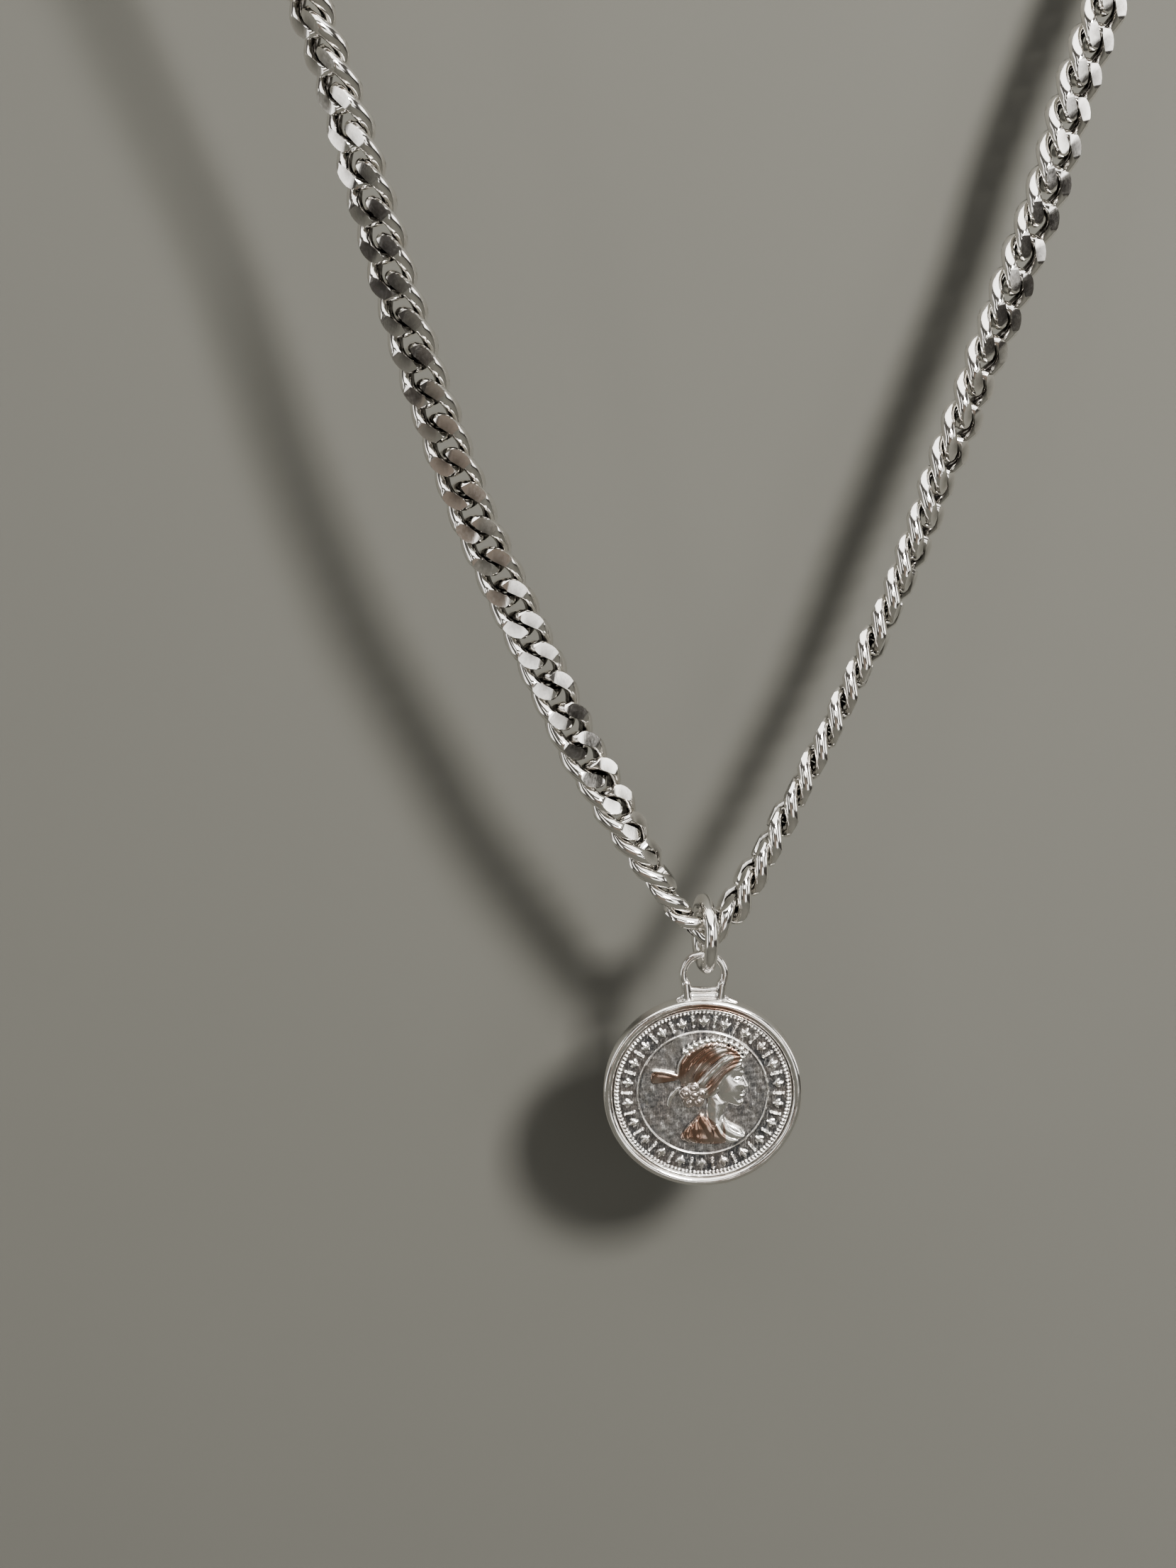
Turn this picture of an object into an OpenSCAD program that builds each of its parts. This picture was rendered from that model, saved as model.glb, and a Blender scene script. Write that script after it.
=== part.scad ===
// Coin pendant on a diamond-cut curb chain, in silver.
// The origin is the underside of the clasp, where the necklace hangs.
// +Z is up, and the coin's picture faces -Y.

/* [Coin] */
// Diameter of the coin over its rim
coin_d = 15; // [12:0.5:20]
// Thickness of the coin at its rim
coin_t = 1.6; // [1.2:0.1:2.4]
// Width of the rounded rim
rim_w = 0.7; // [0.5:0.05:1]
// Depth of the field below the top of the rim
field_depth = 0.35; // [0.2:0.05:0.5]
// Height of the bust above the field
bust_h = 0.5; // [0.3:0.05:0.7]
// Height of the raised motifs in the band
motif_h = 0.2; // [0.1:0.05:0.3]
// Number of raised motifs round the band
motif_count = 44; // [24:2:60]

/* [Coin loop] */
// Outer width of the cast loop on top of the coin
loop_w = 3.7; // [3.4:0.1:5]
// Wire thickness of the loop
loop_wire = 0.62; // [0.5:0.02:0.9]
// Height of the loop above the rim
loop_rise = 3.7; // [3.4:0.1:5]

/* [Jump ring] */
// Outer diameter of the jump ring
ring_d = 6; // [5.8:0.1:8]
// Wire diameter of the jump ring
ring_wire = 1; // [0.7:0.05:1.1]
// Turn of the ring about the vertical
ring_turn = 9; // [0:1:12]

/* [Chain] */
// Length of one link from centre to centre
link_pitch = 2.48; // [2.44:0.01:2.54]
// Wire diameter of a link
link_wire = 0.83; // [0.74:0.01:0.87]
// Outer width of the chain
chain_w = 3.4; // [3.3:0.01:3.5]
// Outer length of one link
link_l = 4.6; // [4.5:0.01:4.65]
// Twist of a link from its middle to its end
link_twist = 58; // [56:1:66]
// Thickness left between the two diamond-cut faces
cut_t = 1.74; // [1.5:0.02:2]
// Turn of the hanging loop about the vertical
loop_turn = 12; // [0:1:20]

/* [Clasp] */
// Diameter of the clasp's barrel
clasp_d = 3.8; // [3.4:0.1:6]
// Wire diameter of the clasp's eyes
eye_wire = 0.76; // [0.6:0.02:0.8]

/* [Hidden] */

// Gap between the coin's loop and the ring that it hangs in
hang_gap = 0.1;
// Gap between the ring and the chain that it hangs on
seat_gap = 0.12;

// Route of the chain's middle line in its own plane, from the clasp's left eye to its right eye.
// Columns: sideways, height above the seat in the ring, roll of the wide side about the run (degrees).
ROUTE_LEFT = [
    [-7, 175.6, 270],
    [-23.8, 169.7, 270],
    [-36.5, 159, 270],
    [-44.7, 144.8, 270],
    [-47.6, 129, 270],
    [-45.3, 113, 268],
    [-36.4, 88.5, 258],
    [-27.1, 64, 241],
    [-24.2, 55, 224],
    [-21.8, 46, 212],
    [-19.5, 38.5, 204],
    [-16.6, 30.5, 195],
    [-12.8, 22, 184],
    [-9.4, 14.5, 167],
    [-7.2, 10.6, 149],
    [-5.3, 7.3, 130],
    [-3.5, 4.4, 111],
    [-2, 2, 92]
];
ROUTE_SEAT = [[0, 0.4, 90]];
ROUTE_RIGHT = [
    [2, 2, 90],
    [3.6, 4.4, 84],
    [5.6, 8, 75],
    [10.1, 16.7, 66],
    [14.1, 25.3, 54],
    [17.6, 34.8, 38],
    [21.1, 44.4, 27],
    [24.3, 53.6, 22],
    [27.3, 64, 24],
    [36.3, 88.5, 42],
    [45.3, 113, 66],
    [47.6, 129, 85],
    [44.7, 144.8, 90],
    [36.5, 159, 90],
    [23.8, 169.7, 90],
    [7, 175.6, 90]
];
ROUTE = concat(ROUTE_LEFT, ROUTE_SEAT, ROUTE_RIGHT);
SEAT_AT = len(ROUTE_LEFT);
// Steps that a stretch of the route between two points is read in
ROUTE_STEPS = 10;
// Sideways shift that lets two links fold over the seat, and the length it builds up over
FOLD_SHIFT = 0.5;
FOLD_RUN = 1.9;
FOLD_FADE = 25;

// Shape of a link
LINK_SECTIONS = 10;
WIRE_SIDES = 5;
LINK_SQUARENESS = 3;
half_l = (link_l - link_wire) / 2;
half_w = (chain_w - link_wire) / 2;

// Bead ring, inner line and band of motifs on the coin's face
bead_size = 0.28;
bead_gap = 0.12;
line_size = 0.18;
motif_l = 0.9;
leaf_w = 0.36;
bar_w = 0.22;
bar_l = 0.72;
band_r = 0.765 * coin_d / 2;
field_h = coin_t / 2 - field_depth;

// Size of the bust's head, and the place of its middle from the middle of the coin
head_h = 0.37 * coin_d;
head_x = 0.055 * coin_d;
head_y = 0.085 * coin_d;
// Heights of the bust's layers, in shares of the whole relief
RIBBON_LAYER = 0.4;
SHOULDER_LAYER = 0.7;
HEAD_LAYER = 0.75;
HAIR_LAYER = 0.9;
// Knot and wreath, in shares of the head's height, and the wreath's first and last angle
knot_at = [-0.27, -0.25];
knot_share = 0.18;
wreath_share = 0.56;
wreath_count = 11;
wreath_from = 48;
wreath_to = 130;

// Foot of the coin's loop
foot_w = 3.2;
foot_top_w = 2.16;
foot_h = 0.75;

// Radius and roll of the clasp's eyes, how far they reach past the middle of the end link's bend,
// and how deep they sink into the barrel
eye_r = 1.1;
eye_roll = 40;
EYE_PAST_LINK = 0.05;
EYE_SINK = 0.47;

// Heights of the pieces
top_z = ROUTE[0][1];
seat_z = clasp_d / 2 - top_z;
ring_r = (ring_d - ring_wire) / 2;
// Height above the seat at which the chain's outer wires cross the ring
crossing_h = 0.54;
wire_reach = ring_r - ring_wire / 2 - seat_gap - link_wire / 2;
ring_z = seat_z + crossing_h - sqrt(pow(wire_reach, 2) - pow(half_w, 2));
coin_r = coin_d / 2;
loop_top_z = ring_z - ring_r + ring_wire / 2 + hang_gap + loop_wire;
coin_z = loop_top_z - loop_rise - coin_r;

// One smooth curve through the points of the route
function curve(a, b, c, d, t) =
    0.5 * (2 * b + (c - a) * t + (2 * a - 5 * b + 4 * c - d) * t * t + (3 * b - a - 3 * c + d) * t * t * t);
function point(i) =
    i < 0 ? 2 * ROUTE[0] - ROUTE[1]
    : i >= len(ROUTE) ? 2 * ROUTE[len(ROUTE) - 1] - ROUTE[len(ROUTE) - 2]
    : ROUTE[i];
SAMPLES = concat(
    [for (i = [0:len(ROUTE) - 2], k = [0:ROUTE_STEPS - 1])
        curve(point(i - 1), point(i), point(i + 1), point(i + 2), k / ROUTE_STEPS)],
    [ROUTE[len(ROUTE) - 1]]
);
function flat(p) = [p[0], p[1]];
function step_after(i) = i + 1 < len(SAMPLES) ? norm(flat(SAMPLES[i + 1]) - flat(SAMPLES[i])) : 0;
RUN = [for (i = 0, s = 0; i < len(SAMPLES); s = s + step_after(i), i = i + 1) s];
SIDE_AT = [for (i = [0:len(RUN) - 1]) [RUN[i], SAMPLES[i][0]]];
HEIGHT_AT = [for (i = [0:len(RUN) - 1]) [RUN[i], SAMPLES[i][1]]];
ROLL_AT = [for (i = [0:len(RUN) - 1]) [RUN[i], SAMPLES[i][2]]];
whole_run = RUN[len(RUN) - 1];
seat_run = RUN[SEAT_AT * ROUTE_STEPS];
left_links = round(seat_run / link_pitch);
right_links = round((whole_run - seat_run) / link_pitch);

// Axes of the loop's plane: across it, and out of it towards the viewer
ACROSS = [cos(loop_turn), sin(loop_turn), 0];
OUT = [sin(loop_turn), -cos(loop_turn), 0];
UP = [0, 0, 1];
function unit(v) = v / norm(v);
function in_plane(side, height) = side * ACROSS + height * UP;
function tanh(x) = (exp(x) - exp(-x)) / (exp(x) + exp(-x));

// Place and axes of the link whose middle is at a length s along the run
function run_point(s) = in_plane(lookup(s, SIDE_AT), lookup(s, HEIGHT_AT));
function fold(s) = FOLD_SHIFT * tanh((s - seat_run) / FOLD_RUN) * exp(-abs(s - seat_run) / FOLD_FADE);
function link_place(s) = run_point(s) + fold(s) * OUT + seat_z * UP;
function link_forward(s) =
    unit(run_point(min(s + link_pitch / 2, whole_run)) - run_point(max(s - link_pitch / 2, 0)));
function link_wide(s) =
    let (roll = lookup(s, ROLL_AT))
    cos(roll) * cross(OUT, link_forward(s)) + sin(roll) * OUT;

// Middle line of the wire in the link's own axes, at an angle round the link
function bulge(v) = sign(v) * pow(abs(v), 2 / LINK_SQUARENESS);
function wire_line(t) =
    let (x = half_l * bulge(cos(t)), w = half_w * bulge(sin(t)), turn = -link_twist * x / half_l)
    [x, w * cos(turn), w * sin(turn)];
function diamond_cut(p) = [p[0], p[1], max(-cut_t / 2, min(cut_t / 2, p[2]))];
SECTION_STEP = 360 / LINK_SECTIONS;
LINK_SKIN = [
    for (k = [0:LINK_SECTIONS - 1])
        let (t = k * SECTION_STEP,
             p = wire_line(t),
             along = unit(wire_line(t + SECTION_STEP) - wire_line(t - SECTION_STEP)),
             outward = unit(p - (p * along) * along),
             aside = cross(along, outward))
        for (m = [0:WIRE_SIDES - 1])
            let (q = m * 360 / WIRE_SIDES)
            diamond_cut(p + link_wire / 2 * (cos(q) * outward + sin(q) * aside))
];
SKIN_SIZE = LINK_SECTIONS * WIRE_SIDES;
LINK_FACES = [
    for (k = [0:LINK_SECTIONS - 1], m = [0:WIRE_SIDES - 1])
        let (here = k * WIRE_SIDES,
             next = (k + 1) % LINK_SECTIONS * WIRE_SIDES,
             m2 = (m + 1) % WIRE_SIDES)
        each [[here + m, next + m, next + m2], [here + m, next + m2, here + m2]]
];

// Points of the link at a length s along the run
function link_points(s) =
    let (o = link_place(s), x = link_forward(s), y = link_wide(s), z = cross(x, y))
    [for (p = LINK_SKIN) o + p[0] * x + p[1] * y + p[2] * z];

// A row of interlocked links with their middles at the given lengths along the run
module links(lengths) {
    polyhedron(
        points = [for (s = lengths) each link_points(s)],
        faces = [for (i = [0:len(lengths) - 1], f = LINK_FACES) [for (v = f) v + i * SKIN_SIZE]]
    );
}

module chain_left() {
    color("gainsboro")
        links([for (i = [0:left_links - 1]) seat_run * (i + 0.5) / left_links]);
}

module chain_right() {
    right_run = whole_run - seat_run;
    color("lightgray")
        links([for (i = [0:right_links - 1]) seat_run + right_run * (i + 0.5) / right_links]);
}

// Plain clasp: a round barrel with an eye at each end, rolled to pass through the end link
eye_x = -ROUTE[0][0] + link_pitch / 2 - half_l - EYE_PAST_LINK;
barrel_end = eye_x - eye_r - eye_wire / 2 + EYE_SINK;
module wire_ring(radius, wire) {
    rotate_extrude($fn = 64)
        translate([radius, 0])
            circle(d = wire, $fn = 32);
}
module clasp() {
    straight = barrel_end - clasp_d / 2;
    color("lightgray")
        translate([0, 0, clasp_d / 2])
            rotate([0, 0, loop_turn])
                union() {
                    rotate([0, 90, 0])
                        cylinder(h = 2 * straight, d = clasp_d, center = true, $fn = 48);
                    for (side = [-1, 1]) {
                        translate([side * straight, 0, 0])
                            sphere(d = clasp_d, $fn = 48);
                        translate([side * eye_x, 0, 0])
                            rotate([-side * eye_roll, 0, 0])
                                wire_ring(eye_r, eye_wire);
                    }
                }
}

module jump_ring() {
    color("silver")
        translate([0, 0, ring_z])
            rotate([0, 0, ring_turn])
                rotate([0, 90, 0])
                    wire_ring(ring_r, ring_wire);
}

// Disc of the coin, turned about its own axis. The section's first axis is radius, its second thickness.
bead_r = coin_r - rim_w - bead_gap - bead_size / 2;
line_r = 0.655 * coin_r;
module coin_section() {
    edge = rim_w / 2;
    for (side = [-1, 1])
        translate([coin_r - edge, side * (coin_t / 2 - edge)])
            circle(r = edge, $fn = 32);
    translate([coin_r - rim_w, -coin_t / 2 + edge])
        square([rim_w, coin_t - rim_w]);
    translate([0, -coin_t / 2 + field_depth])
        square([coin_r - edge, coin_t - 2 * field_depth]);
    translate([bead_r, field_h])
        circle(d = bead_size, $fn = 24);
    translate([line_r, field_h])
        circle(d = line_size, $fn = 24);
}

// Raised motifs: a leaf and a bar take turns round the band
module motif(kind) {
    half = motif_l / 2;
    if (kind == 0)
        linear_extrude(height = motif_h)
            polygon([[0, half], [leaf_w / 2, 0], [0, -half], [-leaf_w / 2, 0]]);
    else
        linear_extrude(height = motif_h)
            square([bar_w, bar_l], center = true);
}
module motif_band() {
    for (i = [0:motif_count - 1])
        rotate([0, 0, i * 360 / motif_count])
            translate([0, band_r, 0])
                motif(i % 2);
}

// Bust in relief, in shares of the head's height, measured from the middle of the head.
// Head and neck with a face of plain proportions
HEAD = [
    [-0.02, 0.48], [0.2, 0.43], [0.34, 0.31], [0.4, 0.18], [0.415, 0.09], [0.395, 0.04],
    [0.48, -0.12], [0.42, -0.155], [0.435, -0.2], [0.41, -0.225], [0.425, -0.255],
    [0.395, -0.29], [0.41, -0.36], [0.35, -0.42], [0.16, -0.38], [0.13, -0.5],
    [0.2, -0.66], [-0.2, -0.72], [-0.16, -0.4], [-0.3, -0.2], [-0.4, 0.05], [-0.35, 0.3], [-0.2, 0.44]
];
// Hair drawn back over the ear to the knot
HAIR = [
    [0.02, 0.54], [0.22, 0.48], [0.35, 0.34], [0.3, 0.2], [0.18, 0.12], [0.08, -0.04], [-0.04, -0.14],
    [-0.2, -0.3], [-0.36, -0.28], [-0.46, -0.06], [-0.48, 0.14], [-0.38, 0.36], [-0.2, 0.49]
];
// Draped shoulder, cut in an arc below
SHOULDER = [
    [0.12, -0.54], [0.2, -0.63], [0.36, -0.72], [0.42, -0.8], [0.36, -0.9], [0.16, -0.96], [-0.06, -0.97],
    [-0.28, -0.94], [-0.44, -0.88], [-0.38, -0.74], [-0.26, -0.6], [-0.16, -0.5]
];
// Tails of the ribbon that ties the hair
RIBBON = [
    [-0.42, 0.02], [-0.62, 0.1], [-0.9, 0.08], [-0.66, 0.01], [-0.84, -0.12], [-0.78, -0.2], [-0.56, -0.04]
];
module relief(outline, height) {
    linear_extrude(height = height)
        polygon(head_h * outline);
}
module bust() {
    translate([head_x, head_y, 0]) {
        relief(RIBBON, RIBBON_LAYER * bust_h);
        relief(SHOULDER, SHOULDER_LAYER * bust_h);
        relief(HEAD, HEAD_LAYER * bust_h);
        relief(HAIR, HAIR_LAYER * bust_h);
        translate([knot_at[0] * head_h, knot_at[1] * head_h, 0])
            cylinder(h = bust_h, r = knot_share * head_h, $fn = 32);
        for (i = [0:wreath_count - 1])
            rotate([0, 0, wreath_from + i * (wreath_to - wreath_from) / (wreath_count - 1)])
                translate([wreath_share * head_h, 0, 0])
                    cylinder(h = bust_h, d = leaf_w, $fn = 20);
    }
}

// Loop cast on top of the coin, on a foot that joins it to the rim
loop_r = (loop_w - loop_wire) / 2;
module coin_loop() {
    foot_top = -loop_w / 2 + foot_h;
    foot_low = -loop_rise + loop_w / 2 - rim_w / 2;
    rotate([90, 0, 0])
        wire_ring(loop_r, loop_wire);
    rotate([90, 0, 0])
        linear_extrude(height = loop_wire, center = true)
            difference() {
                polygon([
                    [-foot_w / 2, foot_low], [foot_w / 2, foot_low],
                    [foot_top_w / 2, foot_top], [-foot_top_w / 2, foot_top]
                ]);
                circle(r = loop_r, $fn = 48);
            }
}
module coin() {
    color("silver")
        union() {
            translate([0, 0, coin_z])
                rotate([90, 0, 0])
                    union() {
                        rotate_extrude($fn = 96)
                            coin_section();
                        translate([0, 0, field_h]) {
                            motif_band();
                            bust();
                        }
                    }
            translate([0, 0, loop_top_z - loop_w / 2])
                coin_loop();
        }
}

coin();
jump_ring();
chain_left();
chain_right();
clasp();
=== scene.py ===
"""Looks of the coin pendant necklace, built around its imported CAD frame."""

from math import cos, pi, radians, sin

import bmesh
import bpy
import numpy as np
from mathutils import Matrix, Vector


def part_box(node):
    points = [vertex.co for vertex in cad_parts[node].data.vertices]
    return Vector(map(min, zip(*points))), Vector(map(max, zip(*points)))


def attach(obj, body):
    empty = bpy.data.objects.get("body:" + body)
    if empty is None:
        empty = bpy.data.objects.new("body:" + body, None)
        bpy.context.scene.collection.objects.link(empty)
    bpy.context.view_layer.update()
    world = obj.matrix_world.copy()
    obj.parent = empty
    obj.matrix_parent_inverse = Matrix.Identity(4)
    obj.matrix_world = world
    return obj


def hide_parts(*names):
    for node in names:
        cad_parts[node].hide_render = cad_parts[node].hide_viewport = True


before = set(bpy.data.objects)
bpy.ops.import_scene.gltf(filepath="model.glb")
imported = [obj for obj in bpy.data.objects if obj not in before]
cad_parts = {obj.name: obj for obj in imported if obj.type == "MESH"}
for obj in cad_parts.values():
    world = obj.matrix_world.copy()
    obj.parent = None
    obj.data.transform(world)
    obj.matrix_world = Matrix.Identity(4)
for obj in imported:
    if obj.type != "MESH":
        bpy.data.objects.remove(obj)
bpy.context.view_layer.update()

# Sizes are in millimetres, and places taken from the frame in metres.
MM = 0.001

# Places taken from the frame
COIN_LOW, COIN_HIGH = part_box("coin")
COIN_R = (COIN_HIGH.x - COIN_LOW.x) / 2 / MM
COIN_PLACE = Vector((0, 0, COIN_LOW.z + COIN_R * MM))
RING_LOW, RING_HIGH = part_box("jump_ring")
RING_PLACE = (RING_LOW + RING_HIGH) / 2


# Camera
PHOTO_W, PHOTO_H = 1659, 2212
FOCAL_PX = 3072
COIN_PX = (991, 1539)
COIN_PX_PER_MM = 18.65
VIEW_ELEVATION = radians(14)
SENSOR = 36


def make_camera():
    """Camera of the photograph: its long side takes the whole sensor width."""
    data = bpy.data.cameras.new("photo_camera")
    data.sensor_width = SENSOR
    data.lens = SENSOR * FOCAL_PX / PHOTO_H
    data.clip_start = 0.005
    camera = bpy.data.objects.new("photo_camera", data)
    bpy.context.scene.collection.objects.link(camera)
    forward = Vector((0, cos(VIEW_ELEVATION), -sin(VIEW_ELEVATION)))
    right = Vector((1, 0, 0))
    up = right.cross(forward)
    px = MM / COIN_PX_PER_MM
    camera.location = (
        COIN_PLACE
        - forward * FOCAL_PX * px
        - right * (COIN_PX[0] - PHOTO_W / 2) * px
        + up * (COIN_PX[1] - PHOTO_H / 2) * px
    )
    camera.rotation_mode = "QUATERNION"
    camera.rotation_quaternion = forward.to_track_quat("-Z", "Y")
    bpy.context.scene.camera = camera


make_camera()


# Mesh helpers
def new_piece(name, points, faces, materials, body, node, kinds=None, sharp=None):
    """A smooth mesh piece from points in millimetres. kinds holds each face's material."""
    mesh = bpy.data.meshes.new(name)
    mesh.from_pydata(np.asarray(points, float) * MM, [], faces)
    mesh.update()
    for material in materials:
        mesh.materials.append(material)
    if kinds is not None:
        mesh.polygons.foreach_set("material_index", np.asarray(kinds, np.int32))
    mesh.polygons.foreach_set("use_smooth", np.ones(len(mesh.polygons), bool))
    if sharp:
        mesh.set_sharp_from_angle(angle=radians(sharp))
    piece = bpy.data.objects.new(name, mesh)
    bpy.context.scene.collection.objects.link(piece)
    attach(piece, body)
    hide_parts(node)
    return piece


def set_share(piece, name, values):
    """Keeps one number for each point of the mesh, for its material to read."""
    layer = piece.data.attributes.new(name, "FLOAT", "POINT")
    layer.data.foreach_set("value", np.asarray(values, np.float32))


def smooth_line(points, steps, closed=False):
    """One smooth curve through the points."""
    p = np.array(points, float)
    ends = (p[-1:], p[:2]) if closed else (2 * p[:1] - p[1:2], 2 * p[-1:] - p[-2:-1])
    ring = np.vstack([ends[0], p, ends[1]])
    t = np.linspace(0, 1, steps, endpoint=False)[:, None]
    parts = [
        0.5 * (
            2 * b + (c - a) * t
            + (2 * a - 5 * b + 4 * c - d) * t**2
            + (3 * b - a - 3 * c + d) * t**3
        )
        for a, b, c, d in zip(ring[:-3], ring[1:-2], ring[2:-1], ring[3:])
    ]
    return np.vstack(parts if closed else parts + [p[-1:]])


def grid_faces(rows, columns, wrap_rows=False, wrap_columns=True):
    """Quads over a grid of points, row by row, that may close on itself either way."""
    i = np.arange(rows if wrap_rows else rows - 1)[:, None]
    j = np.arange(columns if wrap_columns else columns - 1)[None, :]
    i2, j2 = (i + 1) % rows, (j + 1) % columns
    quads = [i * columns + j, i * columns + j2, i2 * columns + j2, i2 * columns + j]
    return np.stack([np.broadcast_to(q, quads[0].shape) for q in quads], -1).reshape(-1, 4)


def capped_faces(rows, columns):
    """Quads over a grid that closes round, and a fan at each end about the two points after it."""
    faces = grid_faces(rows, columns).tolist()
    first, last, base = rows * columns, rows * columns + 1, (rows - 1) * columns
    for j in range(columns):
        k = (j + 1) % columns
        faces += [[first, k, j], [last, base + j, base + k]]
    return faces


def turned(section, segments, ripple=None):
    """Points of a closed solid turned about the coin's axis, from pairs of radius and height."""
    angle = np.arange(segments) * 2 * pi / segments
    inner = np.array(section[1:-1], float)
    radius, height = inner[:, :1], np.repeat(inner[:, 1:], segments, 1)
    if ripple is not None:
        height = height + ripple(angle)[None, :] * (np.abs(height) > COIN_T / 4)
    points = np.stack([radius * np.cos(angle), radius * np.sin(angle), height], -1).reshape(-1, 3)
    points = np.vstack([points, [[0, 0, section[0][1]], [0, 0, section[-1][1]]]])
    return points, capped_faces(len(inner), segments)


def coin_to_frame(points):
    """From the coin's own axes (right, up, out of the picture) to the frame, in millimetres."""
    p = np.asarray(points, float)
    place = np.array(COIN_PLACE) / MM
    return np.stack([p[:, 0], -p[:, 2], p[:, 1]], 1) + place


def coin_piece(name, points, faces, material, patina, tone_and_reflection):
    """A piece of the coin from points in the frame, with its shares of patina and of warm brown,
    which is toning and on the bust a painted reflection.
    """
    piece = new_piece(name, points, faces, [material], "pendant", "coin")
    set_share(piece, "patina", patina)
    set_share(piece, "tone_and_reflection", tone_and_reflection)


# Material helpers
def new_material(name):
    material = bpy.data.materials.new(name)
    material.use_nodes = True
    return material, material.node_tree.nodes, material.node_tree.links


def object_coordinates(nodes):
    return nodes.new("ShaderNodeTexCoord").outputs["Object"]


def noise(nodes, links, where, size, detail=3.0, rough=0.5, stretch=None):
    """Soft noise whose spots are about that size in millimetres; stretch draws them out."""
    texture = nodes.new("ShaderNodeTexNoise")
    texture.inputs["Scale"].default_value = 1 / (size * MM)
    texture.inputs["Detail"].default_value = detail
    texture.inputs["Roughness"].default_value = rough
    if stretch:
        mapping = nodes.new("ShaderNodeMapping")
        mapping.inputs["Scale"].default_value = stretch
        links.new(where, mapping.inputs["Vector"])
        where = mapping.outputs["Vector"]
    links.new(where, texture.inputs["Vector"])
    return texture.outputs["Fac"]


def rescale(nodes, links, value, low, high, to_low, to_high):
    node = nodes.new("ShaderNodeMapRange")
    numbers = {"From Min": low, "From Max": high, "To Min": to_low, "To Max": to_high}
    for name, number in numbers.items():
        node.inputs[name].default_value = number
    links.new(value, node.inputs["Value"])
    return node.outputs["Result"]


def combine(nodes, links, operation, a, b):
    node = nodes.new("ShaderNodeMath")
    node.operation = operation
    node.use_clamp = True
    for socket, value in zip(node.inputs, (a, b)):
        if isinstance(value, (int, float)):
            socket.default_value = value
        else:
            links.new(value, socket)
    return node.outputs["Value"]


def mix_colour(nodes, links, factor, a, b):
    node = nodes.new("ShaderNodeMix")
    node.data_type = "RGBA"
    links.new(factor, node.inputs["Factor"])
    for name, value in (("A", a), ("B", b)):
        socket = [s for s in node.inputs if s.name == name and s.type == "RGBA"][0]
        if isinstance(value, tuple):
            socket.default_value = (*value, 1)
        else:
            links.new(value, socket)
    return [s for s in node.outputs if s.type == "RGBA"][0]


def bump(nodes, links, height, strength, distance):
    node = nodes.new("ShaderNodeBump")
    node.inputs["Strength"].default_value = strength
    node.inputs["Distance"].default_value = distance * MM
    links.new(height, node.inputs["Height"])
    return node.outputs["Normal"]


# Materials
SILVER = (0.93, 0.915, 0.89)
WARM_SILVER = (0.86, 0.83, 0.79)
OXIDE = (0.085, 0.088, 0.094)
# Dark colour of the painted shade on the inner side of the chain's links
CREVICE_SHADE_COLOUR = (0.09, 0.083, 0.075)
OXIDE_WARM = (0.165, 0.15, 0.14)
# Warm brown: toning of the silver, and on the bust a painted reflection
BROWN_TONE_AND_REFLECTION = (0.44, 0.28, 0.21)
OXIDE_ROUGHNESS = 0.42
# Sizes of the noise, in millimetres; the first breaks the chain's painted crevice shade into
# patches
CREVICE_SHADE_SPOT, SCUFF, HAIRLINE = 0.3, 0.22, 0.05
PATINA_SPECK, WORN_STREAK, OXIDE_CLOUD = 0.16, 0.1, 1.1
CAST_GRAIN, CAST_PIT, COIN_SCRATCH = 0.09, 0.12, 0.07
# How the noise is drawn out along each axis
HAIRLINE_STRETCH = (1.0, 0.4, 0.12)
STREAK_STRETCH = (1.0, 1.0, 0.2)
SCRATCH_STRETCH = (1.0, 1.0, 0.22)
# Depths of the bumps, in millimetres
HAIRLINE_DEPTH, CAST_DEPTH = 0.006, 0.012


def new_metal(name):
    """A metal with its nodes, links, shader and object coordinates."""
    material, nodes, links = new_material(name)
    shader = nodes["Principled BSDF"]
    shader.inputs["Metallic"].default_value = 1.0
    return material, nodes, links, shader, object_coordinates(nodes)


def point_share(nodes, name):
    """The number that the mesh keeps for each of its points under that name."""
    attribute = nodes.new("ShaderNodeAttribute")
    attribute.attribute_name = name
    return attribute.outputs["Fac"]


def polished_silver(name, roughness, scratch, spots=1.6):
    """Bright worn silver with faint warm clouds and fine scratches, darkened by painted shade
    where the mesh keeps a share of crevice shade.
    """
    material, nodes, links, shader, where = new_metal(name)
    cloud = noise(nodes, links, where, spots, 2.0)
    tone = rescale(nodes, links, cloud, 0.45, 0.75, 0, 1)
    clean = mix_colour(nodes, links, tone, SILVER, WARM_SILVER)
    # Painted shade: the inner side of each link's wire is darkened in patches, standing in for the
    # shade between the links
    shade_spots = noise(nodes, links, where, CREVICE_SHADE_SPOT, 3.0)
    patchy = rescale(nodes, links, shade_spots, 0.2, 0.6, 0.7, 1)
    depth = combine(nodes, links, "MULTIPLY", point_share(nodes, "crevice_shade"), patchy)
    links.new(mix_colour(nodes, links, depth, clean, CREVICE_SHADE_COLOUR), shader.inputs["Base Color"])
    scuffs = noise(nodes, links, where, SCUFF, 4.0)
    uneven = rescale(nodes, links, scuffs, 0.3, 0.7, roughness * 0.7, roughness * 1.4)
    links.new(uneven, shader.inputs["Roughness"])
    hairline = noise(nodes, links, where, HAIRLINE, 2.0, stretch=HAIRLINE_STRETCH)
    links.new(bump(nodes, links, hairline, scratch, HAIRLINE_DEPTH), shader.inputs["Normal"])
    return material


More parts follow.
